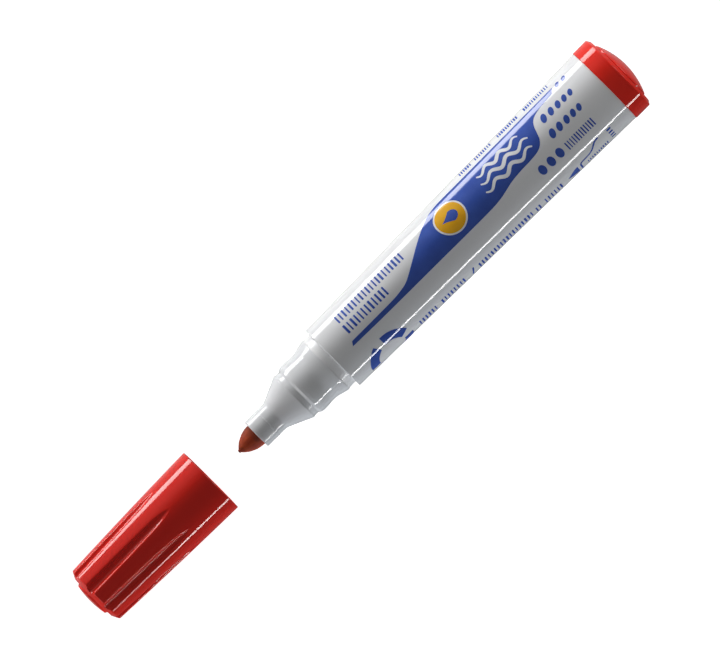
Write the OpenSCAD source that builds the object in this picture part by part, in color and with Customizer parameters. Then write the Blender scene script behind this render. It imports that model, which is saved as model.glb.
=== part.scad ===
// Bullet-tip whiteboard marker with a pull-off cap. Millimetres, +Z up.
// The marker lies along X with its nib towards -X, and rests on the flange of its end plug.
// The cap is drawn off the pen, in line with it, with its mouth facing the nib.
// Positions along the pen are measured from the barrel's front edge, those in the cap from its mouth.

/* [Barrel] */
// Length of the barrel tube
barrel_length = 87.5; // [84:0.5:95]
// Outside radius at the front edge of the barrel
barrel_front_r = 8.75; // [8.7:0.05:9]
// Outside radius at the rear edge of the barrel
barrel_rear_r = 10.15; // [10.1:0.05:10.25]
// Radius of the bore at the front, which holds the front section
front_bore_r = 7.5; // [7.45:0.05:7.6]
// Radius of the bore at the rear, which holds the end plug
rear_bore_r = 9; // [8.9:0.05:9.1]
// Number of ribs inside the barrel that centre the reservoir
barrel_ribs = 6; // [3:1:8]

/* [Front section] */
// Distance from the barrel's front edge to the end of the nose tube
nose_length = 24.5; // [24:0.1:25]
// Outside radius of the nose tube
nose_tube_r = 3.8; // [3.7:0.05:3.82]
// Outside radius of the ridge where the cone ends
ridge_r = 6.53; // [6.4:0.01:6.55]
// Distance from the barrel's front edge to the ridge
ridge_at = 12.4; // [12.2:0.1:12.6]
// Outside radius of the bead behind the cap groove
bead_r = 7; // [6.95:0.01:7.02]
// Smallest outside radius of the waist
waist_r = 6.84; // [6.75:0.01:6.9]
// Outside radius of the flare in front of the collar
flare_r = 7.68; // [7.6:0.01:7.7]
// Distance that the skirt reaches into the barrel
skirt_length = 8; // [6:0.5:8.5]

/* [Nib] */
// Radius of the nib
nib_r = 2.84; // [2.7:0.01:2.85]
// Length of the pointed part that stands out of the nose tube
nib_point_length = 5.65; // [5.2:0.05:5.8]
// Distance that the nib reaches behind the barrel's front edge
nib_tail_reach = 5; // [3:0.5:8]

/* [Reservoir] */
// Outside radius of the wrapped reservoir
reservoir_r = 6.45; // [6.3:0.01:6.5]
// Thickness of the film round the reservoir
wrap_thickness = 0.1; // [0.08:0.01:0.2]
// Distance from the barrel's front edge to the rear end of the reservoir
reservoir_end = 76; // [70:0.5:76]

/* [End plug] */
// Radius of the plug's flange
flange_r = 10.3; // [10.27:0.01:10.4]
// Length of the flange, from the barrel's rear edge to the flat ring round the dome
flange_length = 5.05; // [4.5:0.05:5.5]
// Radius of the dome on the end of the plug
dome_r = 7.78; // [7:0.01:8.2]
// Height of the dome above the flat ring
dome_height = 1.85; // [1.5:0.05:2.2]
// Length of the spigot inside the barrel
spigot_length = 8; // [6:0.5:8]

/* [Cap] */
// Distance from the cap's mouth to the end of its lands
land_length = 37; // [36.6:0.1:38]
// Outside radius at the mouth
cap_mouth_r = 8.75; // [8.7:0.01:8.8]
// Outside radius halfway along the lands
cap_middle_r = 8.31; // [8.26:0.01:8.36]
// Outside radius at the end of the lands
cap_end_r = 7.65; // [7.6:0.01:7.7]
// Number of flutes round the cap
flutes = 8; // [6:1:9]
// Radius of the round-bottomed flutes
flute_r = 1.37; // [1.2:0.01:1.4]
// Turn of the first flute from the top of the cap, in degrees
flute_turn = 59; // [0:1:90]
// Radius of the button on the closed end, at its foot
button_r = 4.75; // [4.4:0.05:5]
// Inside radius of the sealing cup
liner_bore_r = 3.95; // [3.93:0.01:4]

/* [Cap travel] */
// Distance from the barrel's front edge to the mouth of the cap when it is off
cap_off = 39.05; // [36:0.05:60]

/* [Hidden] */
$fn = 96;
eps = 0.02;                        // gap between pieces that are pressed together
arc_steps = 8;                     // straight steps in each small rounded edge

// Barrel
edge_round = 0.25;                 // rounding of the barrel's outer front edge
front_bore_length = skirt_length + 0.5;
rear_bore_length = spigot_length + 0.5;
middle_bore_rear_r = rear_bore_r - 0.15;
rib_thickness = 0.8;
rib_clearance = 0.05;
rib_root = 0.3;                    // depth that a rib reaches into the barrel's wall
rib_lead = 0.8;                    // bevel that guides the reservoir in from the rear
snap_at = 5;                       // place of the ring that holds the front section in the barrel
snap_height = 0.12;
snap_width = 0.8;

// Front section
nose_end_round = 0.3;
step_ring_at = nose_length - 3.8;  // low ring round the nose tube
step_ring_r = nose_tube_r + 0.06;
step_ring_width = 0.3;
cone_angle = 24.2;
cone_foot = ridge_at + (ridge_r - nose_tube_r) / tan(cone_angle);
cone_fillet_r = 3;                 // hollow rounding between the tube and the cone
cone_fillet_half = cone_fillet_r * tan(cone_angle / 2);
groove_r = ridge_r - 0.15;
groove_front = 12;
groove_rear = 10.9;
bead_edge_at = 10.3;
bead_edge_r = bead_r - 0.14;
bead_front = 9.5;
bead_rear = 8.8;
waist_at = 6.4;
flare_at = 2.3;
flare_sweep = 150;                 // less than 180, so that the flare ends in an edge
collar_front = 1.95;
collar_front_r = front_bore_r + 0.02;
collar_rear_r = front_bore_r - 0.06;
nib_hole_r = nib_r + 0.04;
nib_hole_depth = nose_length - 14; // length of the hole that grips the nib
cavity_neck_r = 4.4;
cavity_r = 5.6;
cavity_front = 11.6;
seat_at = 1.4;                     // step inside the collar that the reservoir sits on
skirt_bore_r = reservoir_r + 0.1;
air_channels = 4;
air_channel_width = 0.9;
air_channel_depth = 0.35;

// Nib
nib_tip_round = 0.28;
nib_ogive_r = (pow(nib_point_length, 2) + pow(nib_r, 2)) / (2 * nib_r);
nib_tail_cone = 3;
nib_tail_end_r = 1.3;
nib_tip_at = -nose_length - nib_point_length;

// End plug
flange_round = 0.65;
dome_foot = 0.35;                  // upright rim at the foot of the dome
dome_cap_height = dome_height - dome_foot;
dome_sphere_r = (pow(dome_r, 2) + pow(dome_cap_height, 2)) / (2 * dome_cap_height);
plug_wall = 1.2;
spigot_bore_r = rear_bore_r - plug_wall;
stop_rib = 1;                      // thickness of the crossed ribs that hold the reservoir forward
axis_z = flange_r;
pen_rear = barrel_length + flange_length + dome_height;

// Cap
cap_middle_at = land_length / 2;
mouth_round = 0.15;
end_chamfer_length = 0.85;
end_flat_r = 5.95;
base_length = land_length + end_chamfer_length;
button_step = 0.5;
button_top_r = button_r - 0.7;
button_dome = 0.55;
button_sphere_r = (pow(button_top_r, 2) + pow(button_dome, 2)) / (2 * button_dome);
cap_length = base_length + button_step + button_dome;
flute_axis_mouth_r = 9.08;         // radius of a flute's own axis where its round nose begins
flute_axis_end_r = 7.97;           // and at the end of the lands
flute_nose_at = 17.6;
flute_nose_length = 6.3;
flute_nose_drop = 0.4;
flute_tilt = atan((flute_axis_mouth_r - flute_axis_end_r) / (land_length - flute_nose_at));
flute_overrun = 3;
cap_bore_r = 7.8;                  // clears the front section's flare
cap_bore_end = 2.6;
mouth_bevel = 0.3;
cap_waist_r = 7.14;                // clears its bead
cap_waist_at = 8.6;
snap_ring_at = 11;                 // low ring that snaps into the groove behind the ridge
snap_ring_r = ridge_r + 0.07;
cap_throat_r = 7;
cap_throat_end = 13;
cap_floor = 36.2;                  // distance from the mouth to the inner face of the closed end
cap_floor_r = 5.85;
seat_depth = 2.7;                  // depth of the socket that holds the sealing cup
seat_r = 5;
liner_wall = 0.8;
liner_mouth = 16.5;
liner_lead = 1.8;
liner_floor = 34.8;
seal_lip_at = 19.2;
seal_lip_r = nose_tube_r + 0.1;
cap_mouth_x = -cap_off;
cap_rear = cap_mouth_x - cap_length;
centre_x = (pen_rear + cap_rear) / 2;

// Points of a circular arc, from one angle to another.
function arc(at, r, from, to, steps = arc_steps) =
    [for (i = [0:steps]) let (a = from + (to - from) * i / steps) at + r * [cos(a), sin(a)]];

// Points of a smooth change of radius between two points of an outline, without its first point.
// It starts level, and a sweep of 180 degrees also ends level.
function ease(a, b, sweep = 180, steps = arc_steps) =
    [for (i = [1:steps]) [
        a.x + (b.x - a.x) * (1 - cos(sweep * i / steps)) / (1 - cos(sweep)),
        a.y + (b.y - a.y) * i / steps
    ]];

// Stands a shape that is turned about Z on its side, so that its height runs along the pen.
module along_pen() {
    translate([-centre_x, 0, axis_z])
        rotate([0, 90, 0])
            children();
}

// The same in the cap, whose depth runs from its mouth towards -X.
module along_cap() {
    translate([cap_mouth_x - centre_x, 0, axis_z])
        rotate([0, -90, 0])
            children();
}

// A turned shape from an outline of [radius, position] points.
module turned(outline) {
    rotate_extrude()
        polygon(outline);
}

// A round hole or shaft between two positions.
module round_run(from, to, r1, r2) {
    translate([0, 0, from])
        cylinder(h = to - from, r1 = r1, r2 = r2);
}

module barrel_outside() {
    turned(concat(
        [[0, 0], [barrel_front_r - edge_round, 0]],
        arc([barrel_front_r - edge_round, edge_round], edge_round, -90, 0),
        [[barrel_rear_r, barrel_length], [0, barrel_length]]
    ));
}

module barrel_bore() {
    round_run(-1, front_bore_length, front_bore_r, front_bore_r);
    round_run(
        front_bore_length, barrel_length - rear_bore_length,
        front_bore_r, middle_bore_rear_r
    );
    round_run(barrel_length - rear_bore_length, barrel_length + 1, rear_bore_r, rear_bore_r);
    snap_ring(snap_at, front_bore_r, snap_height + eps);
}

// A low half-round ring on a shaft, also cut as the groove that takes it.
module snap_ring(at, r, height) {
    turned([
        [r - 0.5, at - snap_width / 2], [r, at - snap_width / 2],
        [r + height, at - snap_width / 6], [r + height, at + snap_width / 6],
        [r, at + snap_width / 2], [r - 0.5, at + snap_width / 2]
    ]);
}

module barrel() {
    color("white")
        along_pen() {
            difference() {
                barrel_outside();
                barrel_bore();
            }
            for (i = [0:barrel_ribs - 1])
                rotate([0, 0, i * 360 / barrel_ribs])
                    barrel_rib();
        }
}

// One lengthwise rib, from the bore wall in to the reservoir.
module barrel_rib() {
    rib_foot = reservoir_r + rib_clearance;
    rib_start = front_bore_length + 0.5;
    rib_stop = reservoir_end - 6;
    bore_slope = (middle_bore_rear_r - front_bore_r)
        / (barrel_length - rear_bore_length - front_bore_length);
    start_r = front_bore_r + bore_slope * (rib_start - front_bore_length) + rib_root;
    stop_r = front_bore_r + bore_slope * (rib_stop - front_bore_length) + rib_root;
    rotate([90, 0, 0])
        translate([0, 0, -rib_thickness / 2])
            linear_extrude(rib_thickness)
                polygon([
                    [rib_foot, rib_start], [start_r, rib_start], [stop_r, rib_stop],
                    [rib_foot + rib_lead, rib_stop], [rib_foot, rib_stop - 2 * rib_lead]
                ]);
}

// Outline of the front section's outside, from the nose tube's end to the skirt.
nose_outline = concat(
    [[0, -nose_length]],
    arc([nose_tube_r - nose_end_round, -nose_length + nose_end_round], nose_end_round, -90, 0),
    [
        [nose_tube_r, -step_ring_at - step_ring_width],
        [step_ring_r, -step_ring_at - step_ring_width + 0.08],
        [step_ring_r, -step_ring_at - 0.08],
        [nose_tube_r, -step_ring_at]
    ],
    arc(
        [nose_tube_r + cone_fillet_r, -cone_foot - cone_fillet_half], cone_fillet_r,
        180, 180 - cone_angle
    ),
    [
        [ridge_r - 0.04, -ridge_at - 0.1], [ridge_r, -ridge_at + 0.05],
        [groove_r, -groove_front + 0.1], [groove_r, -groove_rear], [bead_edge_r, -bead_edge_at],
        [bead_r, -bead_front], [bead_r, -bead_rear]
    ],
    ease([bead_r, -bead_rear], [waist_r, -waist_at]),
    ease([waist_r, -waist_at], [flare_r, -flare_at], flare_sweep),
    [
        [flare_r - 0.03, -flare_at + 0.15], [collar_front_r, -collar_front],
        [collar_rear_r, -0.02], [front_bore_r - eps, 0],
        [front_bore_r - eps, skirt_length - 0.4], [front_bore_r - 0.3, skirt_length], [0, skirt_length]
    ]
);

module front_section() {
    color("gainsboro")
        along_pen()
            difference() {
                union() {
                    turned(nose_outline);
                    snap_ring(snap_at, front_bore_r - eps, snap_height);
                }
                nose_cavity();
                for (i = [0:air_channels - 1])
                    rotate([0, 0, 45 + i * 360 / air_channels])
                        translate([nib_hole_r - 0.3, -air_channel_width / 2, -nose_length - 1])
                            cube([0.3 + air_channel_depth, air_channel_width, nib_hole_depth + 2]);
            }
}

// The hole that grips the nib, the hollow behind it and the seat of the reservoir.
module nose_cavity() {
    gripped_to = -nose_length + nib_hole_depth;
    round_run(-nose_length - 1, gripped_to + 1, nib_hole_r, nib_hole_r);
    turned([
        [0, gripped_to], [cavity_neck_r, gripped_to], [cavity_r, -cavity_front],
        [cavity_r, -seat_at], [skirt_bore_r, -seat_at], [skirt_bore_r, skirt_length + 1],
        [0, skirt_length + 1]
    ]);
}

// Solid of the nib, grown all round by a gap so that it can also cut its own seat.
module nib_solid(gap = 0) {
    ogive_centre = -(nib_ogive_r - nib_r);
    tip_angle = acos((-ogive_centre + nib_tip_round) / nib_ogive_r);
    tail_start = nib_tail_reach - nib_tail_cone;
    turned(concat(
        [[0, nib_tip_at + 0.22 - gap]],
        [for (i = [0:2 * arc_steps])
            let (a = tip_angle * (1 - i / (2 * arc_steps)))
                [ogive_centre + nib_ogive_r * cos(a) + gap, -nose_length - nib_ogive_r * sin(a)]],
        [
            [nib_r + gap, tail_start], [nib_tail_end_r + gap, nib_tail_reach],
            [nib_tail_end_r - 0.4, nib_tail_reach + gap + 0.1], [0, nib_tail_reach + gap + 0.1]
        ]
    ));
}

module nib() {
    color("sienna")
        along_pen()
            nib_solid();
}

module reservoir_core() {
    color("indianred")
        along_pen()
            difference() {
                round_run(
                    -seat_at, reservoir_end,
                    reservoir_r - wrap_thickness - eps, reservoir_r - wrap_thickness - eps
                );
                nib_solid(eps);
            }
}

module reservoir_wrap() {
    color("mistyrose")
        along_pen()
            difference() {
                round_run(-seat_at, reservoir_end, reservoir_r, reservoir_r);
                round_run(
                    -seat_at - 1, reservoir_end + 1,
                    reservoir_r - wrap_thickness, reservoir_r - wrap_thickness
                );
            }
}

// Outline of the plug's outside, from the spigot's open end to the top of the dome.
plug_outline = concat(
    [
        [0, barrel_length - spigot_length],
        [rear_bore_r - 0.4, barrel_length - spigot_length],
        [rear_bore_r - eps, barrel_length - spigot_length + 0.6],
        [rear_bore_r - eps, barrel_length], [flange_r, barrel_length]
    ],
    arc([flange_r - flange_round, barrel_length + flange_length - flange_round], flange_round, 0, 90),
    [[dome_r, barrel_length + flange_length], [dome_r, barrel_length + flange_length + dome_foot]],
    arc(
        [0, pen_rear - dome_sphere_r], dome_sphere_r,
        asin((dome_sphere_r - dome_cap_height) / dome_sphere_r), 90, 2 * arc_steps
    )
);

module end_plug() {
    hollow_end = pen_rear - dome_height - plug_wall + 0.6;
    stop_reach = barrel_length - spigot_length - reservoir_end - 0.1;
    color("red")
        along_pen() {
            difference() {
                turned(plug_outline);
                round_run(
                    barrel_length - spigot_length - 1, hollow_end, spigot_bore_r, spigot_bore_r
                );
            }
            intersection() {
                round_run(
                    barrel_length - spigot_length - stop_reach, hollow_end + 0.3,
                    spigot_bore_r + 0.3, spigot_bore_r + 0.3
                );
                for (a = [0, 90])
                    rotate([0, 0, a])
                        translate([-10, -stop_rib / 2, reservoir_end - 1])
                            cube([20, stop_rib, 30]);
            }
        }
}

module cap_outside() {
    turned(concat(
        [
            [0, 0], [cap_mouth_r - mouth_round, 0], [cap_mouth_r, mouth_round],
            [cap_middle_r, cap_middle_at], [cap_end_r + 0.05, land_length - 0.15],
            [cap_end_r - 0.15, land_length], [end_flat_r, base_length], [button_r, base_length],
            [button_top_r, base_length + button_step]
        ],
        arc(
            [0, cap_length - button_sphere_r], button_sphere_r,
            asin((button_sphere_r - button_dome) / button_sphere_r), 90
        )
    ));
}

module cap_inside() {
    turned([
        [0, -1], [cap_bore_r + mouth_bevel, -1], [cap_bore_r + mouth_bevel, 0],
        [cap_bore_r, mouth_bevel], [cap_bore_r, cap_bore_end], [cap_waist_r, cap_waist_at],
        [cap_throat_r + 0.1, snap_ring_at - 0.6], [snap_ring_r, snap_ring_at - 0.15],
        [snap_ring_r, snap_ring_at + 0.15], [cap_throat_r, snap_ring_at + 0.6],
        [cap_throat_r, cap_throat_end], [cap_floor_r, cap_floor - seat_depth],
        [seat_r, cap_floor - seat_depth], [seat_r, cap_floor], [0, cap_floor]
    ]);
}

// One round-bottomed flute: a rod with a long round nose, tilted to follow the cap's taper.
module flute() {
    rod_length = land_length - flute_nose_at + flute_overrun;
    nose_arc_r = (pow(flute_nose_length, 2) + pow(flute_nose_drop, 2)) / (2 * flute_nose_drop);
    nose_angle = asin(flute_nose_length / nose_arc_r);
    translate([flute_axis_mouth_r, 0, flute_nose_at])
        rotate([0, -flute_tilt, 0])
            turned(concat(
                [[0, -flute_nose_length]],
                arc([flute_r - nose_arc_r, 0], nose_arc_r, -nose_angle, 0),
                [[flute_r, rod_length], [0, rod_length]]
            ));
}

module cap_shell() {
    color("firebrick")
        along_cap()
            difference() {
                cap_outside();
                cap_inside();
                for (i = [0:flutes - 1])
                    rotate([0, 0, flute_turn + i * 360 / flutes])
                        flute();
            }
}

module cap_liner() {
    liner_r = liner_bore_r + liner_wall;
    color("mistyrose")
        along_cap()
            difference() {
                turned([
                    [0, liner_mouth], [liner_r + 0.4, liner_mouth], [liner_r + 0.4, liner_mouth + 0.5],
                    [liner_r, liner_mouth + liner_lead], [liner_r, cap_floor - seat_depth],
                    [seat_r - eps, cap_floor - seat_depth + 0.2], [seat_r - eps, cap_floor - eps],
                    [0, cap_floor - eps]
                ]);
                turned([
                    [0, liner_mouth - 1], [liner_r, liner_mouth - 1], [liner_r, liner_mouth],
                    [liner_bore_r, liner_mouth + liner_lead], [liner_bore_r, seal_lip_at - 0.3],
                    [seal_lip_r, seal_lip_at - 0.1], [seal_lip_r, seal_lip_at + 0.1],
                    [liner_bore_r, seal_lip_at + 0.3], [liner_bore_r, liner_floor], [0, liner_floor]
                ]);
            }
}

barrel();
front_section();
nib();
reservoir_core();
reservoir_wrap();
end_plug();
cap_shell();
cap_liner();
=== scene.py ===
"""Looks of the whiteboard marker: smooth turned meshes, printed ink, materials, light and camera.

Lengths in the tables are millimetres. Positions on the pen run from the barrel's front edge towards
its end plug, and positions in the cap run from its mouth towards its closed end.
"""

import math
import random

import bmesh
import bpy
from mathutils import Matrix, Vector, noise


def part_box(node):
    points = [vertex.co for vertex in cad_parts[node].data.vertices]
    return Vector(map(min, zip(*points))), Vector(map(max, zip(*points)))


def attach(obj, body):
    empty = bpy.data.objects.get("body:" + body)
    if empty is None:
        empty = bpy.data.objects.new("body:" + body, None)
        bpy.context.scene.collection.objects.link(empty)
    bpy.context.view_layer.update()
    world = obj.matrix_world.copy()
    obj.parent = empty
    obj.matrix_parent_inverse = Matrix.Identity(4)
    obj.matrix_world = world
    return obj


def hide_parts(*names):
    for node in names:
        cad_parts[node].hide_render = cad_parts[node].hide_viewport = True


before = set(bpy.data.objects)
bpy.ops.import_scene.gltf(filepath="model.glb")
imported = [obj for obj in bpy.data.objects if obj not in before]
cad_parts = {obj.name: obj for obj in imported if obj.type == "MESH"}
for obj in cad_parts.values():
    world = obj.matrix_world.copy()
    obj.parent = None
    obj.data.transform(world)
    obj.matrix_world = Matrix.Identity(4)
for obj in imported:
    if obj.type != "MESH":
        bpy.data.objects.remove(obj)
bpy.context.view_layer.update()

MM = 0.001
SEGMENTS = 160  # round a turned piece
AXIS_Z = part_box("end_plug")[1].z / MM / 2
BARREL_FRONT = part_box("barrel")[0].x / MM
BARREL_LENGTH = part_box("barrel")[1].x / MM - BARREL_FRONT
NOSE_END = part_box("front_section")[0].x / MM - BARREL_FRONT
PLUG_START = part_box("end_plug")[0].x / MM - BARREL_FRONT
PLUG_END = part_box("end_plug")[1].x / MM - BARREL_FRONT
CAP_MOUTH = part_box("cap_shell")[1].x / MM
CAP_LENGTH = CAP_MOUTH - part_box("cap_shell")[0].x / MM


# ---------------------------------------------------------------- outlines and meshes

FILLET_SHARE = 0.45  # of a side, at most, goes to a fillet
GUARD = 0.25  # from a fillet to the point that keeps the flat beside it flat in smooth shading
GUARDED = 4  # a side gets that point when it is longer than so many times the fillet's reach


def rounded(corners, steps=5):
    """Outline of (position, radius, fillet) corners with every fillet drawn as an arc, and a
    point on each long side beside it."""
    line = []
    for i, corner in enumerate(corners):
        here = Vector(corner[:2])
        fillet = corner[2] if len(corner) > 2 else 0
        if not fillet or i in (0, len(corners) - 1):
            line.append(here)
            continue
        back = Vector(corners[i - 1][:2]) - here
        ahead = Vector(corners[i + 1][:2]) - here
        half = back.angle(ahead) / 2
        room = FILLET_SHARE * min(back.length, ahead.length)
        reach = min(fillet / math.tan(half), room)
        radius = reach * math.tan(half)
        middle = here + (back.normalized() + ahead.normalized()).normalized() * (
            radius / math.sin(half)
        )
        first = here + back.normalized() * reach
        last = here + ahead.normalized() * reach
        if back.length > GUARDED * reach:
            line.append(first + back.normalized() * min(GUARD, reach))
        start = first - middle
        turn = start.angle_signed(last - middle)
        for k in range(steps + 1):
            spoke = start.copy()
            spoke.rotate(Matrix.Rotation(-turn * k / steps, 2))
            line.append(middle + spoke)
        if ahead.length > GUARDED * reach:
            line.append(last + ahead.normalized() * min(GUARD, reach))
    return [tuple(p) for p in line]


def eased(a, b, sweep=180, steps=12):
    """Points of a soft change of radius from a to b, level at a and, for a half turn, at b."""
    points = []
    for i in range(1, steps + 1):
        share = (1 - math.cos(math.radians(sweep * i / steps))) / (
            1 - math.cos(math.radians(sweep))
        )
        points.append((a[0] + (b[0] - a[0]) * i / steps, a[1] + (b[1] - a[1]) * share))
    return points


def arc(centre, radius, start, stop, steps):
    """Points of a circular arc in (position, radius), by angles in degrees from the long axis."""
    points = []
    for i in range(steps + 1):
        a = math.radians(start + (stop - start) * i / steps)
        points.append((centre[0] + radius * math.cos(a), centre[1] + radius * math.sin(a)))
    return points


def circle(position, radius, angles):
    """A ring of (position, y, z) points. Angle 0 is the top, and a quarter turn is towards +Y."""
    return [(position, radius * math.sin(a), radius * math.cos(a)) for a in angles]


def new_object(name, bm, smooth_angle=38):
    """An object from bmesh geometry, with outward normals and sharp edges where it turns."""
    bmesh.ops.recalc_face_normals(bm, faces=bm.faces)
    mesh = bpy.data.meshes.new(name)
    bm.to_mesh(mesh)
    bm.free()
    mesh.shade_smooth()
    mesh.set_sharp_from_angle(angle=math.radians(smooth_angle))
    obj = bpy.data.objects.new(name, mesh)
    bpy.context.scene.collection.objects.link(obj)
    return obj


def skin(bm, rings, origin, direction, closed):
    """Quads through rings of (position, y, z) points. A ring of one point is a pole."""
    rows = []
    for ring in rings:
        rows.append(
            [
                bm.verts.new(
                    ((origin + direction * p) * MM, y * MM, (AXIS_Z + z) * MM)
                )
                for p, y, z in ring
            ]
        )
    pairs = list(zip(rows, rows[1:]))
    if closed:
        pairs.append((rows[-1], rows[0]))
    for a, b in pairs:
        count = max(len(a), len(b))
        for i in range(count):
            j = (i + 1) % count
            if len(a) == 1:
                bm.faces.new((a[0], b[i], b[j]))
            elif len(b) == 1:
                bm.faces.new((a[i], b[0], a[j]))
            else:
                bm.faces.new((a[i], b[i], b[j], a[j]))


def lathe(name, outline, origin=BARREL_FRONT, direction=1, segments=SEGMENTS):
    """A solid turned round the marker's axis. An outline that starts off the axis closes on
    itself, as a ring."""
    angles = [2 * math.pi * i / segments for i in range(segments)]
    rings = []
    for position, radius in outline:
        if radius < 1e-6:
            rings.append([(position, 0, 0)])
        else:
            rings.append(circle(position, radius, angles))
    bm = bmesh.new()
    skin(bm, rings, origin, direction, len(rings[0]) > 1)
    return new_object(name, bm)


# ---------------------------------------------------------------- materials


def link(tree, a, b):
    tree.links.new(a, b)


def noise_node(tree, scale, detail=4.0, stretch=(1, 1, 1)):
    """Noise over object coordinates, so many bumps a metre, stretched along the axes."""
    coords = tree.nodes.new("ShaderNodeTexCoord")
    place = tree.nodes.new("ShaderNodeMapping")
    place.inputs["Scale"].default_value = stretch
    node = tree.nodes.new("ShaderNodeTexNoise")
    node.inputs["Scale"].default_value = scale
    node.inputs["Detail"].default_value = detail
    node.inputs["Roughness"].default_value = 0.55
    link(tree, coords.outputs["Object"], place.inputs["Vector"])
    link(tree, place.outputs["Vector"], node.inputs["Vector"])
    return node.outputs["Fac"]


def spread(tree, value, low, high, from_low=0.3, from_high=0.7):
    """Maps a value from one range to another. Noise lies mostly between 0.3 and 0.7."""
    node = tree.nodes.new("ShaderNodeMapRange")
    node.inputs["From Min"].default_value = from_low
    node.inputs["From Max"].default_value = from_high
    node.inputs["To Min"].default_value = low
    node.inputs["To Max"].default_value = high
    link(tree, value, node.inputs["Value"])
    return node.outputs["Result"]


def blended(tree, value, low, high):
    """A colour between low and high, each a tuple or an output of another node."""
    node = tree.nodes.new("ShaderNodeMix")
    node.data_type = "RGBA"
    link(tree, value, node.inputs["Factor"])
    for socket, colour in ((node.inputs[6], low), (node.inputs[7], high)):
        if isinstance(colour, tuple):
            socket.default_value = (*colour, 1)
        else:
            link(tree, colour, socket)
    return node.outputs[2]


def material(
    name, low, high, patch, stretch, rough, smear, bump, grain, grain_stretch=(1, 1, 1), **constants
):
    """A moulded or fibrous surface: its colour drifts between low and high, and its gloss and its
    fine relief vary. Patch, smear and grain are the scales of those three, bump is in metres."""
    made = bpy.data.materials.new(name)
    made.use_nodes = True
    tree = made.node_tree
    shader = tree.nodes["Principled BSDF"]
    drift = spread(tree, noise_node(tree, patch, stretch=stretch), 0, 1)
    link(tree, blended(tree, drift, low, high), shader.inputs["Base Color"])
    gloss = spread(tree, noise_node(tree, smear, stretch=stretch), *rough)
    link(tree, gloss, shader.inputs["Roughness"])
    relief = tree.nodes.new("ShaderNodeBump")
    relief.inputs["Strength"].default_value = 1.0
    relief.inputs["Distance"].default_value = bump
    link(tree, noise_node(tree, grain, 3.0, grain_stretch), relief.inputs["Height"])
    link(tree, relief.outputs["Normal"], shader.inputs["Normal"])
    for socket, value in constants.items():
        shader.inputs[socket.replace("_", " ")].default_value = value
    return made


ALONG = (0.12, 1, 1)  # stretches noise along the marker

white_gloss = material(
    "barrel_plastic", (0.84, 0.85, 0.87), (0.88, 0.885, 0.89), 60, ALONG, (0.04, 0.06), 250,
    0.000001, 900, ALONG, IOR=1.5,
)
white_print = material(
    "white_ink", (0.85, 0.86, 0.89), (0.92, 0.93, 0.94), 300, (1, 1, 1), (0.12, 0.18), 500,
    0.000001, 3000, IOR=1.5,
)
blue_print = material(
    "blue_ink", (0.038, 0.092, 0.44), (0.052, 0.118, 0.52), 260, (1, 1, 1), (0.03, 0.06), 500,
    0.000001, 3000, IOR=1.5,
)
amber_print = material(
    "amber_ink", (0.86, 0.42, 0.008), (0.92, 0.48, 0.014), 260, (1, 1, 1), (0.1, 0.16), 500,
    0.000001, 3000, IOR=1.5,
)
satin_grey = material(
    "nose_plastic", (0.82, 0.835, 0.855), (0.86, 0.87, 0.88), 90, (0.5, 1, 1), (0.05, 0.07), 400,
    0.000001, 2200, IOR=1.5,
)
cap_plastic = material(
    "cap_plastic", (0.76, 0.016, 0.009), (0.82, 0.023, 0.013), 90, ALONG, (0.05, 0.07), 300,
    0.000001, 1100, ALONG, IOR=1.43,
)
plug_plastic = material(
    "plug_plastic", (0.84, 0.020, 0.010), (0.89, 0.027, 0.014), 90, (1, 1, 1), (0.05, 0.07), 300,
    0.000001, 1100, IOR=1.43,
)
liner_plastic = material(
    "liner_plastic", (0.66, 0.36, 0.34), (0.78, 0.52, 0.5), 160, (1, 1, 1), (0.35, 0.5), 500,
    0.000008, 2500, IOR=1.5,
)
film_plastic = material(
    "film_plastic", (0.78, 0.5, 0.48), (0.88, 0.68, 0.66), 140, ALONG, (0.18, 0.3), 300,
    0.00002, 500, (3, 1, 1), IOR=1.5,
)


def felt(name, low, high, stain, patch=220.0):
    """Pressed fibre: long streaks of ink, a rough grain and darker stained patches."""
    made = material(
        name, low, high, 900, (0.08, 1, 1), (0.75, 0.95), 900, 0.00006, 5200, (0.2, 1, 1),
        IOR=1.35, Sheen_Weight=0.04, Sheen_Roughness=0.5,
    )
    tree = made.node_tree
    shader = tree.nodes["Principled BSDF"]
    streaks = shader.inputs["Base Color"].links[0].from_socket
    soak = spread(tree, noise_node(tree, patch, 2.0), 0, 1, 0.42, 0.62)
    link(tree, blended(tree, soak, streaks, stain), shader.inputs["Base Color"])
    return made


nib_felt = felt("nib_felt", (0.40, 0.040, 0.012), (0.52, 0.090, 0.024), (0.24, 0.042, 0.018))
core_felt = felt("core_felt", (0.34, 0.03, 0.02), (0.62, 0.1, 0.07), (0.45, 0.04, 0.03), 90.0)

COLLAR_START = -2.15  # the satin collar, whose paler colour is painted light, runs from here to the barrel
COLLAR_EDGE = 0.1  # half the width of its border


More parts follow.
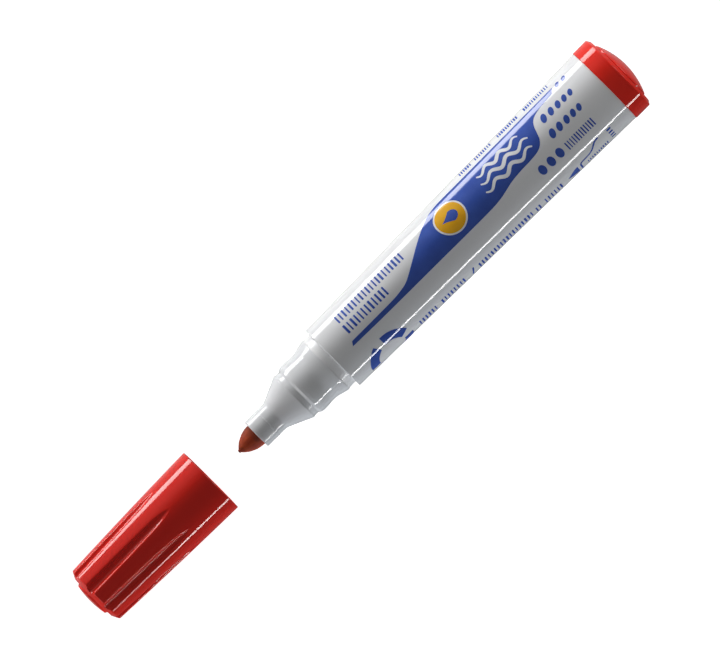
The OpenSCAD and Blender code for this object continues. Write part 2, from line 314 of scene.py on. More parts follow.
def satin_collar_and_painted_light(made, colour, rough):
    """A finely spark-eroded, rougher satin finish on the collar of the front section, with a paler
    colour that is painted light: it stands in for the light the collar catches.
    """
    tree = made.node_tree
    shader = tree.nodes["Principled BSDF"]
    coords = tree.nodes.new("ShaderNodeTexCoord")
    split = tree.nodes.new("ShaderNodeSeparateXYZ")
    link(tree, coords.outputs["Object"], split.inputs[0])
    start = (BARREL_FRONT + COLLAR_START - COLLAR_EDGE) * MM
    stop = (BARREL_FRONT + COLLAR_START + COLLAR_EDGE) * MM
    satin_and_painted_light_mask = spread(tree, split.outputs["X"], 0, 1, start, stop)
    plain = shader.inputs["Base Color"].links[0].from_socket
    # the paler colour mixed in here is painted light on the collar
    link(tree, blended(tree, satin_and_painted_light_mask, plain, colour), shader.inputs["Base Color"])
    gloss = shader.inputs["Roughness"].links[0].from_socket
    mix = tree.nodes.new("ShaderNodeMix")
    link(tree, satin_and_painted_light_mask, mix.inputs["Factor"])
    link(tree, gloss, mix.inputs["A"])
    mix.inputs["B"].default_value = rough
    link(tree, mix.outputs["Result"], shader.inputs["Roughness"])


# the pale colour given here is painted light on the collar; the rougher gloss is its satin finish
satin_collar_and_painted_light(satin_grey, (0.95, 0.955, 0.96), 0.24)


def place(obj, made, body, slot, *nodes):
    """Gives a piece its material and its body, and hides the CAD nodes that it stands for. Its slot
    is not used.
    """
    obj.data.materials.clear()
    obj.data.materials.append(made)
    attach(obj, body)
    if nodes:
        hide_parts(*nodes)
    return obj


# ---------------------------------------------------------------- barrel

FRONT_R = 8.75
REAR_R = 10.15
SKIRT_BORE_R = 7.5
SKIRT_BORE_END = 8.5
PLUG_BORE_R = 9
PLUG_BORE_START = 79


def barrel_radius(x):
    """Outside radius of the tapered barrel at x."""
    return FRONT_R + (REAR_R - FRONT_R) * x / BARREL_LENGTH


barrel_outline = rounded(
    [
        (40, barrel_radius(40)),
        (0, FRONT_R, 0.25),
        (0, SKIRT_BORE_R, 0.12),
        (SKIRT_BORE_END, SKIRT_BORE_R, 0.1),
        (PLUG_BORE_START, PLUG_BORE_R - 0.15, 0.1),
        (PLUG_BORE_START, PLUG_BORE_R, 0.05),
        (BARREL_LENGTH, PLUG_BORE_R, 0.12),
        (BARREL_LENGTH, REAR_R, 0.14),
        (60, barrel_radius(60)),
    ]
)
place(lathe("barrel_tube", barrel_outline), white_gloss, "pen", "barrel_white", "barrel")


def fin(bm, corners, thickness, angle):
    """A flat rib from (position, radius) corners, stood on edge at an angle round the axis."""
    across = Vector((0, math.cos(angle), -math.sin(angle)))
    out = Vector((0, math.sin(angle), math.cos(angle)))
    sides = []
    for side in (-0.5, 0.5):
        sides.append(
            [
                bm.verts.new(
                    (
                        Vector((BARREL_FRONT + p, 0, AXIS_Z))
                        + out * r
                        + across * side * thickness
                    )
                    * MM
                )
                for p, r in corners
            ]
        )
    bm.faces.new(sides[0])
    bm.faces.new(sides[1])
    for i in range(len(corners)):
        j = (i + 1) % len(corners)
        bm.faces.new((sides[0][i], sides[0][j], sides[1][j], sides[1][i]))


RIBS = 6
RIB_THICKNESS = 0.8
RIB_SIDE = [(9, 6.5), (9, 7.8), (70, 8.95), (70, 7.3), (68.4, 6.5)]
ribs = bmesh.new()
for i in range(RIBS):
    fin(ribs, RIB_SIDE, RIB_THICKNESS, math.pi / 2 - i * 2 * math.pi / RIBS)
place(new_object("barrel_ribs", ribs), white_gloss, "pen", "barrel_white")

# ---------------------------------------------------------------- front section

CONE_ANGLE = 24.2
TUBE_R = 3.8
NIB_HOLE_R = 2.88
RIDGE_AT = -12.4
RIDGE_R = 6.53
WAIST_R = 6.84
BEAD_R = 7.0
SKIRT_R = 7.48
CONE_FOOT = RIDGE_AT - (RIDGE_R - TUBE_R) / math.tan(math.radians(CONE_ANGLE))
nose_outside = (
    rounded(
        [
            (NOSE_END, NIB_HOLE_R),
            (NOSE_END, TUBE_R, 0.3),
            (-21.0, TUBE_R, 0.05),
            (-20.95, 3.87, 0.05),
            (-20.72, 3.87, 0.05),
            (-20.67, TUBE_R, 0.05),
            (CONE_FOOT, TUBE_R, 3),
            (-12.45, 6.5, 0.08),
            (-12.3, RIDGE_R, 0.06),
            (-11.95, 6.38, 0.08),
            (-10.9, 6.38, 0.12),
            (-10.3, 6.86, 0.1),
            (-9.5, BEAD_R, 0.3),
            (-8.8, BEAD_R),
        ]
    )
    + eased((-8.8, BEAD_R), (-6.4, WAIST_R))
    + eased((-6.4, WAIST_R), (-2.4, 7.66), 150)
    + rounded(
        [(-2.3, 7.68), (-2.18, 7.66), (-1.95, 7.53, 0.04), (-0.02, 7.45, 0.04), (0.1, SKIRT_R)]
    )
)
nose_inside = rounded(
    [
        (0.1, SKIRT_R),
        (7.6, SKIRT_R, 0.1),
        (8, 7.2, 0.1),
        (8, 6.55, 0.1),
        (-1.4, 6.55, 0.1),
        (-1.4, 5.6, 0.1),
        (-11.6, 5.6, 0.2),
        (-14, 4.4, 0.2),
        (-14, NIB_HOLE_R),
    ]
)[1:]
CHANNELS = 4
CHANNEL_PITCH = 2 * math.pi / CHANNELS
CHANNEL_HALF = 0.45
CHANNEL_DEPTH = 0.35
NOSE_SEGMENTS = 132
nose_angles = [2 * math.pi * (i + 0.5) / NOSE_SEGMENTS for i in range(NOSE_SEGMENTS)]


def channelled(position):
    """A ring of the nib hole, with the square air channels cut beside the nib."""
    ring = []
    for a in nose_angles:
        off = a % CHANNEL_PITCH - CHANNEL_PITCH / 2
        radius = NIB_HOLE_R
        if abs(radius * math.sin(off)) < CHANNEL_HALF:
            radius = (NIB_HOLE_R + CHANNEL_DEPTH) / math.cos(off)
        ring.append((position, radius * math.sin(a), radius * math.cos(a)))
    return ring


nose_rings = []
for position, radius in nose_outside + nose_inside:
    if abs(radius - NIB_HOLE_R) < 1e-6:
        nose_rings.append(channelled(position))
    else:
        nose_rings.append(circle(position, radius, nose_angles))
nose = bmesh.new()
skin(nose, nose_rings, BARREL_FRONT, 1, True)
place(new_object("nose_section", nose), satin_grey, "pen", "section_grey", "front_section")

# ---------------------------------------------------------------- nib and reservoir

NIB_R = 2.84
NIB_POINT = 5.65  # from the nose's end to where the sharp ogive would meet the axis
NIB_WEAR = 0.02
NIB_APEX = NOSE_END - NIB_POINT + NIB_WEAR
BLUNT_R = 0.42
BLUNT_DEPTH = 0.16
BLUNT_STEPS = 4
OGIVE_STEPS = 48
STRAND_RELIEF = 0.022
LUMP_RELIEF = 0.03
ogive_r = (NIB_POINT**2 + NIB_R**2) / (2 * NIB_R)
stop_angle = math.acos((ogive_r - NIB_R + BLUNT_R) / ogive_r)
nib_outline = [(NIB_APEX, 0)]
for k in range(1, BLUNT_STEPS):
    a = math.radians(90 * k / BLUNT_STEPS)
    nib_outline.append((NIB_APEX + BLUNT_DEPTH * (1 - math.cos(a)), BLUNT_R * math.sin(a)))
for k in range(OGIVE_STEPS + 1):
    a = stop_angle * (1 - k / OGIVE_STEPS)
    nib_outline.append((NOSE_END - ogive_r * math.sin(a), NIB_R - ogive_r * (1 - math.cos(a))))
nib_outline += [(x, NIB_R) for x in (-24, -20, -10, 0, 1.9)]
nib_outline += [(2.1, NIB_R - 0.1), (5, 1.3), (5.1, 0.9), (5.1, 0)]


def roughen(nib):
    """Moves the bare point's surface in and out a little, in long strands and soft lumps."""
    for v in nib.data.vertices:
        along = v.co.x / MM
        out = Vector((0, v.co.y, v.co.z - AXIS_Z * MM))
        reach = out.length / MM
        if reach > 0.05 and along < BARREL_FRONT + NOSE_END - 0.05:
            turn = math.atan2(out.y, out.z)
            strand = noise.noise(Vector((along * 0.5, turn * 9, 3.0)))
            lump = noise.noise(Vector((along * 1.1, turn * 2, 11.0)))
            relief = STRAND_RELIEF * strand + LUMP_RELIEF * lump
            v.co += out.normalized() * MM * relief * min(1, reach)


nib = lathe("nib_fibre_tip", nib_outline, segments=128)
roughen(nib)
place(nib, nib_felt, "pen", "nib_fibre", "nib")

for node, made in (("reservoir_core", core_felt), ("reservoir_wrap", film_plastic)):
    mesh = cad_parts[node].data
    mesh.materials.clear()
    mesh.materials.append(made)

# ---------------------------------------------------------------- end plug

FLANGE_R = 10.3
DOME_R = 7.78
DOME_RISE = 1.75
DOME_FOOT = 0.35
FLANGE_END = PLUG_END - DOME_RISE - DOME_FOOT
SPIGOT_R = 8.98
HOLLOW_R = 7.8
STOP_HALF = 7.9
STOP_THICKNESS = 1.0
STOP_END = 91.6
dome_sphere = (DOME_R**2 + DOME_RISE**2) / (2 * DOME_RISE)
dome_half = math.degrees(math.asin(DOME_R / dome_sphere))
plug_outline = (
    rounded(
        [
            (91.4, 0),
            (91.4, HOLLOW_R, 0.3),
            (79.5, HOLLOW_R, 0.1),
            (79.5, 8.6, 0.1),
            (80.1, SPIGOT_R, 0.1),
            (BARREL_LENGTH, SPIGOT_R, 0.02),
            (BARREL_LENGTH, FLANGE_R, 0.12),
            (FLANGE_END - 0.6, FLANGE_R, 0.25),
            (FLANGE_END, FLANGE_R - 0.9, 0.25),
            (FLANGE_END, DOME_R, 0.08),
            (FLANGE_END + DOME_FOOT, DOME_R, 0.12),
            (FLANGE_END + DOME_FOOT + 0.1, DOME_R - 0.5),
        ]
    )[:-1]
    + arc(
        (PLUG_END - dome_sphere, 0),
        dome_sphere,
        dome_half * 0.965,
        dome_half * 0.03,
        28,
    )
    + [(PLUG_END, 0)]
)
place(lathe("plug_cap", plug_outline), plug_plastic, "pen", "plug_red", "end_plug")
stop_side = [(PLUG_START, -STOP_HALF), (STOP_END, -STOP_HALF)]
stop_side += [(STOP_END, STOP_HALF), (PLUG_START, STOP_HALF)]
stops = bmesh.new()
for i in range(2):
    fin(stops, stop_side, STOP_THICKNESS, i * math.pi / 2)
place(new_object("plug_stop_ribs", stops), plug_plastic, "pen", "plug_red")

# ---------------------------------------------------------------- cap

CAP_R = 8.75
TAPER = 0.017838
BOW = 0.0003214
FLUTES = 8
FLUTE_TURN = math.radians(59)
FLUTE_R = 1.1
FLUTE_NOSE = 17.6  # nearer the mouth than this, a flute grows narrower and shallower
NOSE_CURVE_R = 49.8
LEAST_FLUTE_R = 0.2
AXIS_AT_NOSE = 8.86  # how far out a flute's own axis lies at its nose
AXIS_AT_LAND = 7.75  # and at the end of the lands
LAND = 37.0  # where the lands between the flutes end
SOFT = 0.65  # rounding of the flutes' edges
GROOVE_LEAST = math.radians(0.7)  # the least half angles given to a groove
EDGE_LEAST = math.radians(1.6)  # and to a groove with its edges, where it fades out
HALF_PITCH = math.pi / FLUTES
BUTTON_R = 4.7
BUTTON_TOP_R = 4.3
BUTTON_STEP = 0.62
BUTTON_DOME = 0.43
BASE = CAP_LENGTH - BUTTON_STEP - BUTTON_DOME  # the flat end that the button stands on


def land_radius(u):
    """Radius of the gently bowed and tapered cap at u, between its flutes."""
    return CAP_R - TAPER * u - BOW * u * u


def groove_section(u, outer):
    """Half a pitch of the cap's section at u: (angle from the flute's middle, radius) points."""
    axis = AXIS_AT_NOSE - (AXIS_AT_NOSE - AXIS_AT_LAND) * (u - FLUTE_NOSE) / (LAND - FLUTE_NOSE)
    reach = FLUTE_R - max(FLUTE_NOSE - u, 0) ** 2 / (2 * NOSE_CURVE_R)
    edge = groove_edge = 0.0
    if reach > LEAST_FLUTE_R and axis - reach < outer:
        inner = outer - SOFT
        cosine = (inner**2 + axis**2 - (reach + SOFT) ** 2) / (2 * axis * inner)
        if cosine < 1:
            edge = math.acos(cosine)
            share = reach / (reach + SOFT)
            y = share * inner * math.sin(edge)
            x = axis + share * (inner * math.cos(edge) - axis)
            groove_edge = math.atan2(y, x)

    def radius(a):
        if a < groove_edge:
            return axis * math.cos(a) - math.sqrt(
                max(reach**2 - (axis * math.sin(a)) ** 2, 0)
            )
        if a < edge:
            inner = outer - SOFT
            d = a - edge
            return inner * math.cos(d) + math.sqrt(
                max(SOFT**2 - (inner * math.sin(d)) ** 2, 0)
            )
        return outer

    a, b = max(groove_edge, GROOVE_LEAST), max(edge, EDGE_LEAST)
    angles = [a * k / 7 for k in range(8)]
    angles += [a + (b - a) * k / 4 for k in range(1, 5)]
    angles += [b + (HALF_PITCH - b) * k / 5 for k in range(1, 6)]
    return [(t, radius(t)) for t in angles]


def whole_ring(u, half):
    """A ring of the cap at u from (angle, radius) points of half a pitch, mirrored and repeated."""
    ring = []
    for k in range(FLUTES):
        centre = FLUTE_TURN + 2 * k * HALF_PITCH
        for t, r in [(-t, r) for t, r in half[:0:-1]] + half[:-1]:
            ring.append((u, r * math.sin(centre + t), r * math.cos(centre + t)))
    return ring


SHOULDER = (36.93, 7.66)
CHAMFER_FOOT = (BASE, 5.95)
CHAMFER_END = (37.8, 6.04)
chamfer = [(37.2, 7.2), (37.32, 6.95), (37.44, 6.7), (37.56, 6.48), (37.68, 6.26), (37.78, 6.08)]
places = [0.9, 2.5, 4.5, 6.5, 8.5, 10]
places += [10.4 + 0.25 * k for k in range(25)]  # close together where the flutes fade out
places += [17 + k for k in range(20)]
cap_line = (
    rounded([(0, 8.1), (0, CAP_R, 0.22), (0.9, land_radius(0.9))])[1:-1]
    + [(u, land_radius(u)) for u in places]
    + rounded([(36, land_radius(36)), (*SHOULDER, 0.3), CHAMFER_FOOT])[1:-1]
    + chamfer
)
button_sphere = (BUTTON_TOP_R**2 + BUTTON_DOME**2) / (2 * BUTTON_DOME)
button_half = math.degrees(math.asin(BUTTON_TOP_R / button_sphere))
end_line = (
    rounded(
        [
            CHAMFER_END,
            (BASE, 5.9, 0.06),
            (BASE, BUTTON_R, 0.1),
            (BASE + BUTTON_STEP, BUTTON_TOP_R, 0.15),
            (BASE + BUTTON_STEP + 0.12, BUTTON_TOP_R - 0.45),
        ]
    )[1:-1]
    + arc(
        (CAP_LENGTH - button_sphere, 0),
        button_sphere,
        button_half * 0.9,
        button_half * 0.06,
        12,
    )
)
CAP_FLOOR = 36.2
in_line = rounded(
    [
        (CAP_FLOOR, 4.0),
        (CAP_FLOOR, 5.0, 0.1),
        (33.5, 5.0, 0.1),
        (33.5, 5.85, 0.2),
        (13, 7.0, 0.5),
        (11.6, 7.0, 0.1),
        (11.15, 6.6, 0.1),
        (10.85, 6.6, 0.1),
        (10.4, 7.1, 0.1),
        (8.6, 7.14, 0.3),
        (2.6, 7.8, 0.3),
        (0.3, 7.8, 0.05),
        (0, 8.1, 0.08),
        (0, 8.3),
    ]
)[:-1]
plain_angles = [t for t, _ in groove_section(*CHAMFER_END)]


def plain_ring(u, radius):
    """A round ring, with as many points as a fluted one."""
    return whole_ring(u, [(t, radius) for t in plain_angles])


shell = bmesh.new()
skin(
    shell,
    [[(CAP_FLOOR, 0, 0)]]
    + [plain_ring(u, r) for u, r in in_line]
    + [whole_ring(u, groove_section(u, r)) for u, r in cap_line]
    + [plain_ring(u, r) for u, r in end_line]
    + [[(CAP_LENGTH, 0, 0)]],
    CAP_MOUTH,
    -1,
    False,
)
place(new_object("cap_fluted_shell", shell, 32), cap_plastic, "cap", "cap_red", "cap_shell")

liner_outline = rounded(
    [
        (36.18, 0),
        (36.18, 4.98, 0.1),
        (33.7, 4.98, 0.1),
        (33.5, 4.75, 0.05),
        (18.3, 4.75, 0.2),
        (17, 5.15, 0.2),
        (16.5, 5.15, 0.12),
        (16.5, 4.78, 0.12),
        (18.3, 3.95, 0.3),
        (18.9, 3.95, 0.05),
        (19.1, 3.9, 0.05),
        (19.3, 3.9, 0.05),
        (19.5, 3.95, 0.05),
        (34.8, 3.95, 0.4),
        (34.8, 0),
    ]
)
place(
    lathe("cap_seal_cup", liner_outline, CAP_MOUTH, -1),
    liner_plastic,
    "cap",
    "liner_natural",
    "cap_liner",
)

# ---------------------------------------------------------------- print on the barrel
# Shapes are pairs of edges, each a list of (x, w) points on the unrolled barrel:
# x along it from its front edge, w round it from the top.

SINK = -0.02  # the underside of the ink
INK = 0.03  # its top
LAYER = 0.015  # how much higher each later layer stands
FACET = 0.45  # the widest facet across a shape, so that it follows the barrel


def on_barrel(x, w, lift):
    """A point of the barrel's surface, raised by lift, in metres."""
    radius = barrel_radius(x)
    a = w / radius
    out = radius + lift
    return (
        (BARREL_FRONT + x) * MM,
        -out * math.sin(a) * MM,
        (AXIS_Z + out * math.cos(a)) * MM,
    )


def slab(bm, edges, lift):
    """A thin closed layer of ink between two edges, bent round the barrel."""
    upper, lower = edges
    widest = max((Vector(a) - Vector(b)).length for a, b in zip(upper, lower))
    cross = max(2, math.ceil(widest / FACET))
    layers = []
    for height in (lift, SINK):
        rows = []
        for a, b in zip(upper, lower):
            row = []
            for k in range(cross + 1):
                x = a[0] + (b[0] - a[0]) * k / cross
                w = a[1] + (b[1] - a[1]) * k / cross
                row.append(bm.verts.new(on_barrel(x, w, height)))
            rows.append(row)
        layers.append(rows)
    top, bottom = layers
    last = len(upper) - 1
    for i in range(last):
        for k in range(cross):
            for rows in layers:
                bm.faces.new(
                    (rows[i][k], rows[i + 1][k], rows[i + 1][k + 1], rows[i][k + 1])
                )
        for k in (0, cross):
            bm.faces.new((top[i][k], top[i + 1][k], bottom[i + 1][k], bottom[i][k]))
    for k in range(cross):
        for i in (0, last):
            bm.faces.new((top[i][k], top[i][k + 1], bottom[i][k + 1], bottom[i][k]))


def printed(name, made, slot, shapes, lift=INK):
    """A piece made of all the given shapes in one colour of ink."""
    bm = bmesh.new()
    for edges in shapes:
        slab(bm, edges, lift)
    return place(new_object(name, bm, 60), made, "pen", slot)


def block(x0, x1, w0, w1, corner=0.3, lean=0.0):
    """A plain rounded block, leaning forward by a share of its height."""
    corner = min(corner, FILLET_SHARE * (x1 - x0), FILLET_SHARE * (w1 - w0))
    upper, lower = [], []
    xs = [x0 + corner * (1 - math.cos(math.radians(a))) for a in (8, 30, 60, 90)]
    xs += [x1 - corner * (1 - math.cos(math.radians(a))) for a in (90, 60, 30, 8)]
    for i, x in enumerate(xs):
        near = min(x - x0, x1 - x, corner)
        inset = corner - math.sqrt(max(corner**2 - (corner - near) ** 2, 0))
        for edge, w in ((upper, w0 + inset), (lower, w1 - inset)):
            edge.append((x + lean * (w1 - w), w))
    return upper, lower


def oval(x, w, rx, rw, lean=0.0, steps=16):
    """An oval round (x, w), leaning by a share of its height."""
    upper, lower = [], []
    for i in range(steps + 1):
        a = math.pi * (0.02 + 0.96 * i / steps)
        dx, dw = -rx * math.cos(a), rw * math.sin(a)
        upper.append((x + dx + lean * dw, w - dw))
        lower.append((x + dx - lean * dw, w + dw))
    return upper, lower


def ribbon(points, widths):
    """A band along a line, with its own width at each point."""
    upper, lower = [], []
    for i, point in enumerate(points):
        ahead = Vector(points[min(i + 1, len(points) - 1)]) - Vector(points[max(i - 1, 0)])
        side = Vector((-ahead.y, ahead.x)).normalized() * widths[i] / 2
        here = Vector(point)
        upper.append(tuple(here - side))
        lower.append(tuple(here + side))
    return upper, lower


def smooth_between(knots, x):
    """Height at x of a smooth curve through knots."""
    if x <= knots[0][0]:
        return knots[0][1]
    for i in range(len(knots) - 1):
        (xa, wa), (xb, wb) = knots[i], knots[i + 1]
        if x <= xb:
            before = knots[max(i - 1, 0)]
            after = knots[min(i + 2, len(knots) - 1)]
            slope_a = (wb - before[1]) / (xb - before[0])
            slope_b = (after[1] - wa) / (after[0] - xa)
            t = (x - xa) / (xb - xa)
            h = xb - xa
            return (
                (2 * t**3 - 3 * t**2 + 1) * wa
                + (t**3 - 2 * t**2 + t) * h * slope_a
                + (3 * t**2 - 2 * t**3) * wb
                + (t**3 - t**2) * h * slope_b
            )
    return knots[-1][1]


rng = random.Random(7)


def word(x, w0, w1, count, pitch, weight=1.0):
    """A word's worth of plain bars, two for each letter. It has no letters."""
    shapes = []
    for k in range(2 * count):
        wide = pitch * rng.uniform(0.16, 0.27) * weight
        start = x + (k + 0.36) * pitch / 2 - wide / 2
        shapes.append(block(start, start + wide, w0, w1, 0.12))
    return shapes


FIELD_STEPS = 150
field_top = [(5.9, 0.4), (14, 0.4), (19.5, 0.34), (21.7, 0.12), (24, -0.4), (28, -2.6), (32, -5.1)]
field_top += [(35.5, -7.3), (38.3, -8.8), (41.5, -9.45), (46, -9.5), (62, -9.5), (78.6, -9.5)]
field_bottom = [(5.2, 1.4), (14, 1.56), (30, 1.65), (49, 1.7), (52.5, 1.45), (54.7, 1.0), (57, 0.5)]
field_bottom += [(60, 0.2), (64, 0.05), (66.8, -0.5), (68.5, -2.2), (69.2, -4.4), (70.2, -6.2)]
field_bottom += [(72, -7.25), (75, -7.75), (77.6, -8.0)]


def drawn(knots):
    """Points of the smooth curve through knots."""
    start, stop = knots[0][0], knots[-1][0]
    xs = [start + (stop - start) * i / FIELD_STEPS for i in range(FIELD_STEPS + 1)]
    return [(x, smooth_between(knots, x)) for x in xs]


printed("print_field", blue_print, "print_blue", [(drawn(field_top), drawn(field_bottom))])

rows = word(6.5, -7.05, -4.65, 10, 2.14) + word(6.5, -3.65, -1.25, 6, 2.24)
printed("print_rows_front", blue_print, "print_blue", rows)

tail = []
for k in range(3):
    tail.append(oval(63.9 + 2.75 * k, 3.65, 0.95, 1.3))
tail += word(71.4, 2.75, 4.95, 6, 1.46)
printed("print_row_rear", blue_print, "print_blue", tail)

LOW_ROW = (math.radians(62), math.radians(77))  # the long row's edges, as angles from the top
low_rows = []
for x, count in ((19.6, 3), (26.6, 4), (38.4, 9), (56.4, 1), (59.3, 3)):
    radius = barrel_radius(x)
    low_rows += word(x, radius * LOW_ROW[0], radius * LOW_ROW[1], count, 1.93)
low_rows.append(block(36.0, 36.5, 9.6, 12.4, 0.2, 0.3))
low_rows += word(72.6, 11.9, 13.3, 5, 1.35)
low_rows += [block(80.4, 81.6, w, w + 0.55, 0.15) for w in (8.3, 9.5, 10.7, 11.9)]
printed("print_rows_low", blue_print, "print_blue", low_rows)

high_rows = []
for x, count in ((49.6, 3), (54.6, 4), (61.9, 5), (70.4, 6)):
    high_rows += word(x, -12.65, -10.9, count, 1.32, 1.35)
printed("print_rows_high", blue_print, "print_blue", high_rows)

dots = []
for k, x in enumerate((72.3, 74.6, 76.8, 78.8, 80.7)):
    dots.append(oval(x, -4.75, 0.78 - 0.035 * k, 1.12 - 0.07 * k, 0.25))
for k, x in enumerate((71.3, 73.55, 75.8, 77.85, 79.75)):
    dots.append(oval(x, -0.75, 0.82 - 0.04 * k, 1.12 - 0.06 * k, 0.25))
for x in (79.9, 81.9):
    dots.append(oval(x, -9.05, 0.62, 0.7, 0.3))
printed("print_dots", blue_print, "print_blue", dots)

RING_MIDDLE = 11.0  # along the barrel and round it alike
RING_R = 5.2
RING_WIDTH = 2.5
RING_ARCS = 4
RING_SPAN = 68  # degrees of each arc
ring_shapes = []
for k in range(RING_ARCS):
    points = []
    for j in range(21):
        a = math.radians(60 + 360 / RING_ARCS * k + (j / 20 - 0.5) * RING_SPAN)
        points.append((RING_MIDDLE + RING_R * math.cos(a), RING_MIDDLE - RING_R * math.sin(a)))
    ring_shapes.append(ribbon(points, [RING_WIDTH] * len(points)))
printed("print_ring", blue_print, "print_blue", ring_shapes)

WEDGE_START = (66.7, 11.9)
WEDGE_LENGTH = 3.3
STROKE_WIDTH = 0.46
tip_points, tip_widths = [], []
for j in range(13):
    tip_points.append((WEDGE_START[0] + WEDGE_LENGTH * j / 12, WEDGE_START[1]))
    tip_widths.append(0.2 + 2.6 * math.sin(math.radians(90 * j / 12)))
line_points = [(70.9, 13.4), (70.9, 11.9), (70.95, 10.8), (71.2, 10.45), (71.7, 10.3)]
line_points += [(72.8, 10.3), (73.9, 10.2), (74.7, 9.9), (75.4, 9.4), (76.0, 8.8)]
line_points += [(76.6, 8.3), (77.2, 8.05), (77.9, 8.0)]
stroke = ribbon(line_points, [STROKE_WIDTH] * len(line_points))
printed("print_pictogram", blue_print, "print_blue", [ribbon(tip_points, tip_widths), stroke])

WAVE_SWING = 0.62
WAVE_WIDTH = 0.95
WAVE_COUNT = 3  # whole waves in each line
waves = []
for start, stop, centre in ((52.0, 65.2, -6.35), (51.6, 66.6, -4.15), (51.2, 66.0, -1.95)):
    points, widths = [], []
    for j in range(97):
        share = j / 96
        swing = WAVE_SWING * math.sin(2 * math.pi * WAVE_COUNT * share)
        points.append((start + (stop - start) * share, centre + swing))
        widths.append(WAVE_WIDTH * math.sin(math.pi * (0.04 + 0.92 * share)) ** 0.5)
    waves.append(ribbon(points, widths))
printed("print_waves", white_print, "barrel_white", waves, INK + LAYER)

ROUNDEL = (41.4, -3.85)
ROUNDEL_R = 3.75
ROUNDEL_EDGE_R = 4.15
edge_disc = oval(*ROUNDEL, ROUNDEL_EDGE_R, ROUNDEL_EDGE_R, steps=40)
disc = oval(*ROUNDEL, ROUNDEL_R, ROUNDEL_R, steps=40)
printed("print_roundel_edge", white_print, "barrel_white", [edge_disc], INK + LAYER)
printed("print_roundel", amber_print, "print_accent", [disc], INK + 2 * LAYER)

DROP_LENGTH = 4.5
DROP_WIDTH = 2.8
DROP_POINT = 0.05  # width of its sharp end
DROP_WIDEST = 0.62  # the share of its length at which it is widest
drop_points, drop_widths = [], []
for j in range(25):
    share = j / 24
    drop_points.append((ROUNDEL[0] - 0.1 + DROP_LENGTH * (share - 0.5), ROUNDEL[1]))
    if share < DROP_WIDEST:
        swell = (share / DROP_WIDEST) ** 1.35
        drop_widths.append(DROP_POINT + (DROP_WIDTH - DROP_POINT) * swell)
    else:
        past = (share - DROP_WIDEST) / (1.005 - DROP_WIDEST)
        drop_widths.append(DROP_WIDTH * math.sqrt(max(1 - past**2, 0.0004)))
drop = ribbon(drop_points, drop_widths)
printed("print_drop", blue_print, "print_blue", [drop], INK + 3 * LAYER)

# ---------------------------------------------------------------- stage


def stage_material():
    """A pale matt floor, lit evenly by a little glow of its own."""
    made = bpy.data.materials.new("studio_sweep")
    made.use_nodes = True
    tree = made.node_tree
    shader = tree.nodes["Principled BSDF"]
    shade = spread(tree, noise_node(tree, 3.0), 0, 1)
    pale = blended(tree, shade, (0.8, 0.8, 0.8), (0.84, 0.84, 0.84))
    link(tree, pale, shader.inputs["Base Color"])
    shader.inputs["Roughness"].default_value = 0.9
    shader.inputs["Specular IOR Level"].default_value = 0.0
    shader.inputs["Emission Color"].default_value = (1, 1, 1, 1)
    shader.inputs["Emission Strength"].default_value = 0.95
    return made


def studio_sweep(flat=4.0, bend=0.6, height=3.0, sides=96):
    """A pale floor that curves up into a round wall far behind the marker."""
    outline = [(0.0, 0.0), (0.3, 0.0), (1.0, 0.0), (flat, 0.0)]
    for k in range(1, 13):
        a = math.radians(90 * k / 12)
        outline.append((flat + bend * math.sin(a), bend * (1 - math.cos(a))))
    outline.append((flat + bend, height))
    bm = bmesh.new()
    rows = [[bm.verts.new((0, 0, 0))]]
    for r, z in outline[1:]:
        rows.append(
            [
                bm.verts.new((r * math.cos(a), r * math.sin(a), z))
                for a in [2 * math.pi * i / sides for i in range(sides)]
            ]
        )
    for a, b in zip(rows, rows[1:]):
        for i in range(sides):
            j = (i + 1) % sides
            bm.faces.new((a[0], b[i], b[j]) if len(a) == 1 else (a[i], b[i], b[j], a[j]))
    mesh = bpy.data.meshes.new("floor_sweep")
    bm.to_mesh(mesh)
    bm.free()
    mesh.shade_smooth()
    sweep = bpy.data.objects.new("floor_sweep", mesh)
    bpy.context.scene.collection.objects.link(sweep)
    mesh.materials.append(stage_material())
    for ray in ("diffuse", "glossy", "transmission", "shadow"):
        setattr(sweep, "visible_" + ray, False)


studio_sweep()


def panel(name, centre, look, width, height, radiance, diffuse=True, glossy=True, tint=(1, 1, 1)):
    """A soft light panel, width along X, facing a point. Radiance is what a mirror shows of it."""
    data = bpy.data.lights.new(name, "AREA")
    data.shape = "RECTANGLE"
    data.size = width
    data.size_y = height
    data.energy = radiance * math.pi * width * height
    data.color = tint
    lamp = bpy.data.objects.new(name, data)
    lamp.location = centre
    lamp.rotation_mode = "QUATERNION"
    lamp.rotation_quaternion = (Vector(look) - Vector(centre)).to_track_quat("-Z", "Y")
    lamp.visible_camera = False
    lamp.visible_diffuse = diffuse
    lamp.visible_glossy = glossy
    bpy.context.scene.collection.objects.link(lamp)


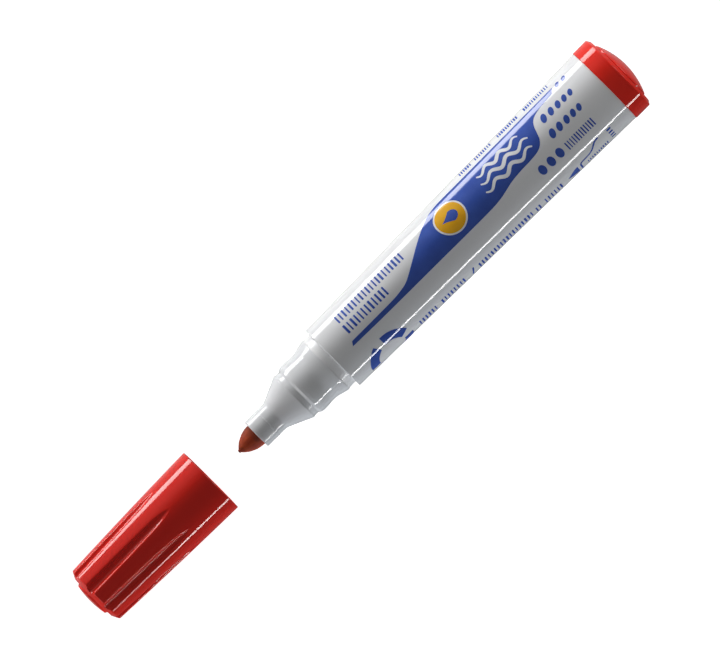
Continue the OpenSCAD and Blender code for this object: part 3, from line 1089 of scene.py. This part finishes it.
COOL = (0.94, 1, 1.08)
panel("broad_strip", (0, 0.45, -0.034), (0, 0, -0.034), 1.0, 0.135, 5.5, glossy=False)
panel("broad_shine", (0, 0.5, -0.038), (0, 0, -0.038), 0.42, 0.15, 10, diffuse=False)
panel("thin_shine", (0, -0.5, 0.06), (0, 0, 0.06), 0.4, 0.048, 15.5, diffuse=False)
panel("side_fill", (-0.3, -0.3, -0.116), (-0.3, 0, -0.116), 0.6, 0.31, 1.95, glossy=False, tint=COOL)
panel("soft_key", (0, 0.5, 0.08), (0, 0, 0.05), 1.0, 0.16, 0.65, glossy=False)
panel("top_rear", (0.16, 0.05, 0.17), (0.16, 0, 0), 0.1, 0.1, 1.4, glossy=False)
panel("under_fill", (0, -0.3, -0.42), (0, 0, 0), 1.5, 0.8, 0.75, glossy=False)
panel("cap_end", (-0.6, 0, 0.01), (0, 0, 0.01), 0.5, 0.3, 2.0)
panel("plug_end", (0.6, 0, 0.02), (0, 0, 0.02), 0.22, 0.3, 4.2, glossy=False)
panel("plug_shine", (0.62, 0, 0.02), (0, 0, 0.02), 0.22, 0.3, 2.6, diffuse=False)


def studio_world():
    """A dark studio with one bright side, towards +Y and below."""
    world = bpy.data.worlds.new("studio")
    world.use_nodes = True
    tree = world.node_tree
    back = tree.nodes["Background"]
    coords = tree.nodes.new("ShaderNodeTexCoord")
    lean = tree.nodes.new("ShaderNodeVectorMath")
    lean.operation = "DOT_PRODUCT"
    lean.inputs[1].default_value = (0, 1, -0.45)
    glow = tree.nodes.new("ShaderNodeMapRange")
    glow.interpolation_type = "SMOOTHSTEP"
    glow.inputs["From Min"].default_value = 0.1
    glow.inputs["From Max"].default_value = 0.75
    glow.inputs["To Min"].default_value = 0.12
    glow.inputs["To Max"].default_value = 0.52
    back.inputs["Color"].default_value = (1, 1, 1, 1)
    link(tree, coords.outputs["Generated"], lean.inputs[0])
    link(tree, lean.outputs["Value"], glow.inputs["Value"])
    link(tree, glow.outputs["Result"], back.inputs["Strength"])
    bpy.context.scene.world = world


studio_world()
bpy.context.scene.view_settings.view_transform = "Standard"
bpy.context.scene.view_settings.look = "None"

LENS = 700
SENSOR = 36
VIEW_WIDTH = 0.163636  # what the picture's width spans at the marker's axis
AIM = (0.00073, 0.00011)  # the point below the camera, close to the middle of the marker
TURN = math.radians(-45.03)  # sets the marker slantwise across the picture

camera_data = bpy.data.cameras.new("camera")
camera_data.lens = LENS
camera_data.sensor_width = SENSOR
camera_data.clip_start = 0.05
camera_data.clip_end = 20
camera = bpy.data.objects.new("camera", camera_data)
camera.location = (*AIM, AXIS_Z * MM + VIEW_WIDTH * LENS / SENSOR)
camera.rotation_euler = (0, 0, TURN)
bpy.context.scene.collection.objects.link(camera)
bpy.context.scene.camera = camera
